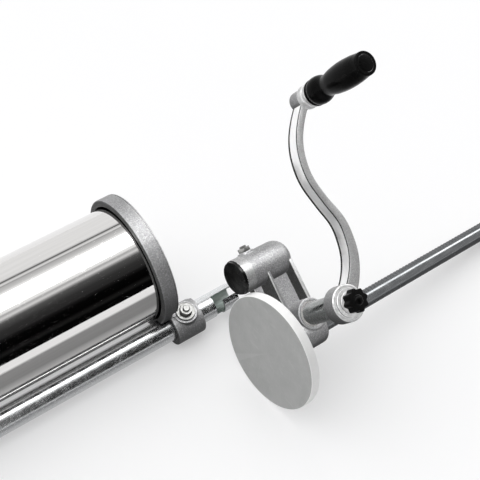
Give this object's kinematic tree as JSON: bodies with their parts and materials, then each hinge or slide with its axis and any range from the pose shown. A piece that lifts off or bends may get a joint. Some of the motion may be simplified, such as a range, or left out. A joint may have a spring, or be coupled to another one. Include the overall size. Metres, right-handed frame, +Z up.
{
  "type": "sausage stuffer",
  "caption": "Horizontal barrel stuffer beside its rail, with the rack, pusher disc and curved crank head taken off and laid on the table.",
  "frame": {"origin": "centre of the footprint on the table that the frame's collars and bosses rest on", "axes": "+X along the barrel from its nozzle towards its open rear end, +Z up, the loose head on the -Y side"},
  "size_m": [0.7304, 0.252, 0.2627],
  "materials": {
    "polished_stainless": "mirror polished stainless steel",
    "food_rubber": "soft pale rubber",
    "zinc_plated_steel": "bright zinc plated steel",
    "polished_aluminium": "polished on its edges, satin on its faces",
    "cast_aluminium": "satin tumbled casting",
    "black_plastic": "glossy black moulding",
    "pale_grey_plastic": "matte moulded plastic",
    "chromed_steel": "bright chromed steel",
    "sintered_bronze": "plain sintered bronze"
  },
  "bodies": {
    "frame": {"barrel": "polished_stainless", "rear_collar": "cast_aluminium", "front_collar": "cast_aluminium", "rail": "chromed_steel", "rail_end_plug": "black_plastic", "rear_clamp_stud": "zinc_plated_steel", "rear_clamp_washer": "zinc_plated_steel", "rear_clamp_nut": "zinc_plated_steel", "front_clamp_stud": "zinc_plated_steel", "front_clamp_washer": "zinc_plated_steel", "front_clamp_nut": "zinc_plated_steel", "front_cap": "cast_aluminium", "cap_gasket": "food_rubber", "cap_screw_1": "zinc_plated_steel", "cap_screw_2": "zinc_plated_steel", "cap_screw_3": "zinc_plated_steel"},
    "nozzle": {"nozzle": "polished_stainless"},
    "ring_nut": {"ring_nut": "polished_stainless"},
    "head": {"head_casting": "cast_aluminium", "rack_bush": "sintered_bronze", "shaft_bush_front": "sintered_bronze", "shaft_bush_rear": "sintered_bronze", "lock_nut": "zinc_plated_steel"},
    "lock_screw": {"lock_screw": "zinc_plated_steel"},
    "crank": {"pinion_shaft": "zinc_plated_steel", "shaft_retainer": "zinc_plated_steel", "crank_arm": "polished_aluminium", "hub_washer": "zinc_plated_steel", "grip_spindle": "zinc_plated_steel", "grip_ring": "zinc_plated_steel"},
    "knob": {"star_knob": "black_plastic", "knob_stud": "zinc_plated_steel", "knob_cap": "black_plastic"},
    "grip": {"grip": "black_plastic", "grip_plug": "black_plastic"},
    "rack": {"rack_bar": "chromed_steel", "rack_end_button": "zinc_plated_steel", "pusher_disc": "pale_grey_plastic", "pusher_lock_ring": "zinc_plated_steel"}
  },
  "joints": [
    {"name": "head_carry", "type": "slide", "parent": "frame", "child": "head", "axis": [0, -1, 0], "range_m": [0, 0.1]},
    {"name": "crank_turn", "type": "hinge", "parent": "head", "child": "crank", "pos_m": [0.10257, -0.06271, 0.0528], "axis": [-0.1536, 0.6238, -0.7663], "range_deg": [0, 1995]},
    {"name": "rack_travel", "type": "slide", "parent": "head", "child": "rack", "axis": [-0.9876, -0.0725, 0.1389], "range_m": [0, 0.24]},
    {"name": "grip_spin", "type": "hinge", "parent": "crank", "child": "grip", "pos_m": [0.16609, 0.02734, 0.19141], "axis": [0.1536, -0.6238, 0.7663], "continuous": true},
    {"name": "knob_turn", "type": "hinge", "parent": "crank", "child": "knob", "pos_m": [0.11371, -0.10794, 0.10836], "axis": [0.1536, -0.6238, 0.7663], "continuous": true},
    {"name": "lock_screw_travel", "type": "slide", "parent": "head", "child": "lock_screw", "axis": [0.0311, 0.7782, 0.6272], "range_m": [0, 0.006]},
    {"name": "nozzle_pull", "type": "slide", "parent": "frame", "child": "nozzle", "axis": [-1, 0, 0], "range_m": [0, 0.06]},
    {"name": "ring_nut_turn", "type": "hinge", "parent": "nozzle", "child": "ring_nut", "pos_m": [-0.24237, 0.0665, 0.0591], "axis": [1, 0, 0], "continuous": true}
  ],
  "couplings": [
    {"joint": "rack_travel", "follows": "crank_turn", "m_per_rad": 0.006875}
  ]
}
